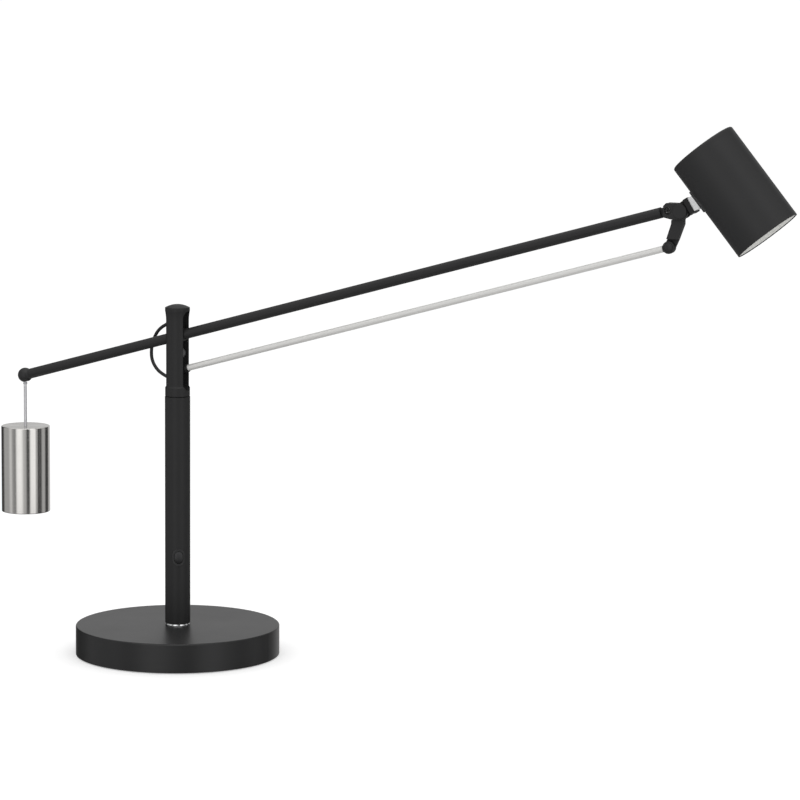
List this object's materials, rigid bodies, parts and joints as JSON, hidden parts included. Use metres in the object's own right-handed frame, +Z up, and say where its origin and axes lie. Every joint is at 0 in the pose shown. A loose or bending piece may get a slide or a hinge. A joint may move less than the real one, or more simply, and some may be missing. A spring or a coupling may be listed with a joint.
{
  "type": "counterweight balance desk lamp",
  "caption": "Desk lamp with a weighted round foot, slotted swivel head, balanced arm on a parallelogram rod, hanging steel weight and a cylindrical tilting shade.",
  "frame": {"origin": "centre of the foot's underside, on the table", "axes": "+Z up the column, +X toward the shade, the arm swings in the XZ plane, the counterweight hangs on the -X side"},
  "size_m": [0.8207, 0.2, 0.5356],
  "materials": {
    "black_steel": "matte black powder coat",
    "black_aluminium": "matte black powder coat",
    "satin_aluminium": "satin anodised",
    "brushed_steel": "turned and brushed",
    "polished_chrome": "polished",
    "zinc_steel": "zinc plated",
    "steel_wire": "drawn wire",
    "cast_iron": "rough cast",
    "black_plastic": "fine grain",
    "grey_plastic": "plain",
    "white_plastic": "plain",
    "cable_rubber": "smooth cable jacket",
    "black_foam": "dense foam pad",
    "white_aluminium": "gloss white paint",
    "white_ceramic": "heat resistant, plain",
    "white_glass": "frosted",
    "white_bulb": "smooth"
  },
  "bodies": {
    "foot": {"foot_pad": "black_foam", "base_plate": "zinc_steel", "base_weight": "cast_iron", "base_cover": "black_steel", "base_screw_1": "zinc_steel", "base_screw_2": "zinc_steel", "base_screw_3": "zinc_steel", "cord_gland": "black_plastic", "column_ring": "polished_chrome", "column_tie": "zinc_steel", "tie_nut": "zinc_steel", "column_plug": "zinc_steel", "column_tube": "black_steel", "switch_bezel": "black_plastic", "switch_body": "black_plastic", "column_bushing": "grey_plastic", "swivel_washer": "black_plastic"},
    "button": {"switch_button": "black_plastic"},
    "head": {"head_housing": "black_steel", "head_cap": "black_steel", "spindle_clip": "zinc_steel", "arm_pivot_pin": "zinc_steel", "rod_pivot_pin": "zinc_steel", "cheek_spacer": "polished_chrome", "spacer_screw": "zinc_steel", "loop_cable": "cable_rubber"},
    "arm": {"arm_hub": "black_steel", "arm_tube_long": "black_aluminium", "arm_tube_short": "black_aluminium", "ball_end": "black_steel", "arm_tongue": "black_steel"},
    "hanger": {"hanger_cup": "white_plastic"},
    "wire": {"wire_ball": "polished_chrome", "hanger_wire": "steel_wire", "wire_collar": "black_plastic", "wire_nut": "zinc_steel"},
    "weight": {"counterweight": "brushed_steel", "weight_plug": "black_plastic"},
    "rod": {"link_rod": "satin_aluminium", "rod_eye_head": "black_steel", "rod_eye_shade": "black_steel"},
    "bracket": {"bracket": "black_steel", "arm_screw": "black_steel", "arm_screw_nut": "zinc_steel", "tilt_pin": "zinc_steel", "tilt_cap": "black_steel", "tilt_nut": "zinc_steel", "link_pin": "black_steel"},
    "knuckle": {"shade_knuckle": "black_steel", "swivel_stem": "polished_chrome", "stem_nut": "zinc_steel"},
    "shade": {"saddle_plate": "black_plastic", "inner_saddle": "black_plastic", "shade_shell": "black_steel", "shade_liner": "white_aluminium", "lamp_stand": "zinc_steel", "lamp_holder": "white_ceramic", "bulb_body": "white_bulb", "bulb_lens": "white_glass"}
  },
  "joints": [
    {"name": "switch_press", "type": "slide", "parent": "foot", "child": "button", "axis": [-0.5299, 0.848, 0], "range_m": [0, 0.0012], "stiffness_N_per_m": 400},
    {"name": "head_swivel", "type": "hinge", "parent": "foot", "child": "head", "pos_m": [0, 0, 0.255], "axis": [0, 0, 1], "range_deg": [-170, 170]},
    {"name": "arm_tilt", "type": "hinge", "parent": "head", "child": "arm", "pos_m": [0, 0, 0.3142], "axis": [0, -1, 0], "range_deg": [-40, 34]},
    {"name": "rod_link", "type": "hinge", "parent": "head", "child": "rod", "pos_m": [0, 0, 0.2804], "axis": [0, -1, 0], "range_deg": [-40, 34]},
    {"name": "bracket_level", "type": "hinge", "parent": "arm", "child": "bracket", "pos_m": [0.50661, 0, 0.45756], "axis": [0, -1, 0], "range_deg": [-34, 40]},
    {"name": "hanger_plumb", "type": "hinge", "parent": "arm", "child": "hanger", "pos_m": [-0.17128, 0, 0.26573], "axis": [0, -1, 0], "range_deg": [-34, 40]},
    {"name": "weight_sway", "type": "hinge", "parent": "hanger", "child": "wire", "pos_m": [-0.17128, 0, 0.26573], "axis": [1, 0, 0], "range_deg": [-8, 8]},
    {"name": "weight_spin", "type": "hinge", "parent": "wire", "child": "weight", "pos_m": [-0.17128, 0, 0.21493], "axis": [0, 0, 1], "continuous": true},
    {"name": "shade_tilt", "type": "hinge", "parent": "bracket", "child": "knuckle", "pos_m": [0.51901, 0, 0.45776], "axis": [0, -1, 0], "range_deg": [-50, 60]},
    {"name": "shade_swivel", "type": "hinge", "parent": "knuckle", "child": "shade", "pos_m": [0.52063, 0, 0.45572], "axis": [0.7815, 0, 0.6239], "range_deg": [-170, 170]}
  ],
  "couplings": [
    {"joint": "rod_link", "follows": "arm_tilt", "ratio": 1},
    {"joint": "bracket_level", "follows": "arm_tilt", "ratio": -1},
    {"joint": "hanger_plumb", "follows": "arm_tilt", "ratio": -1}
  ]
}
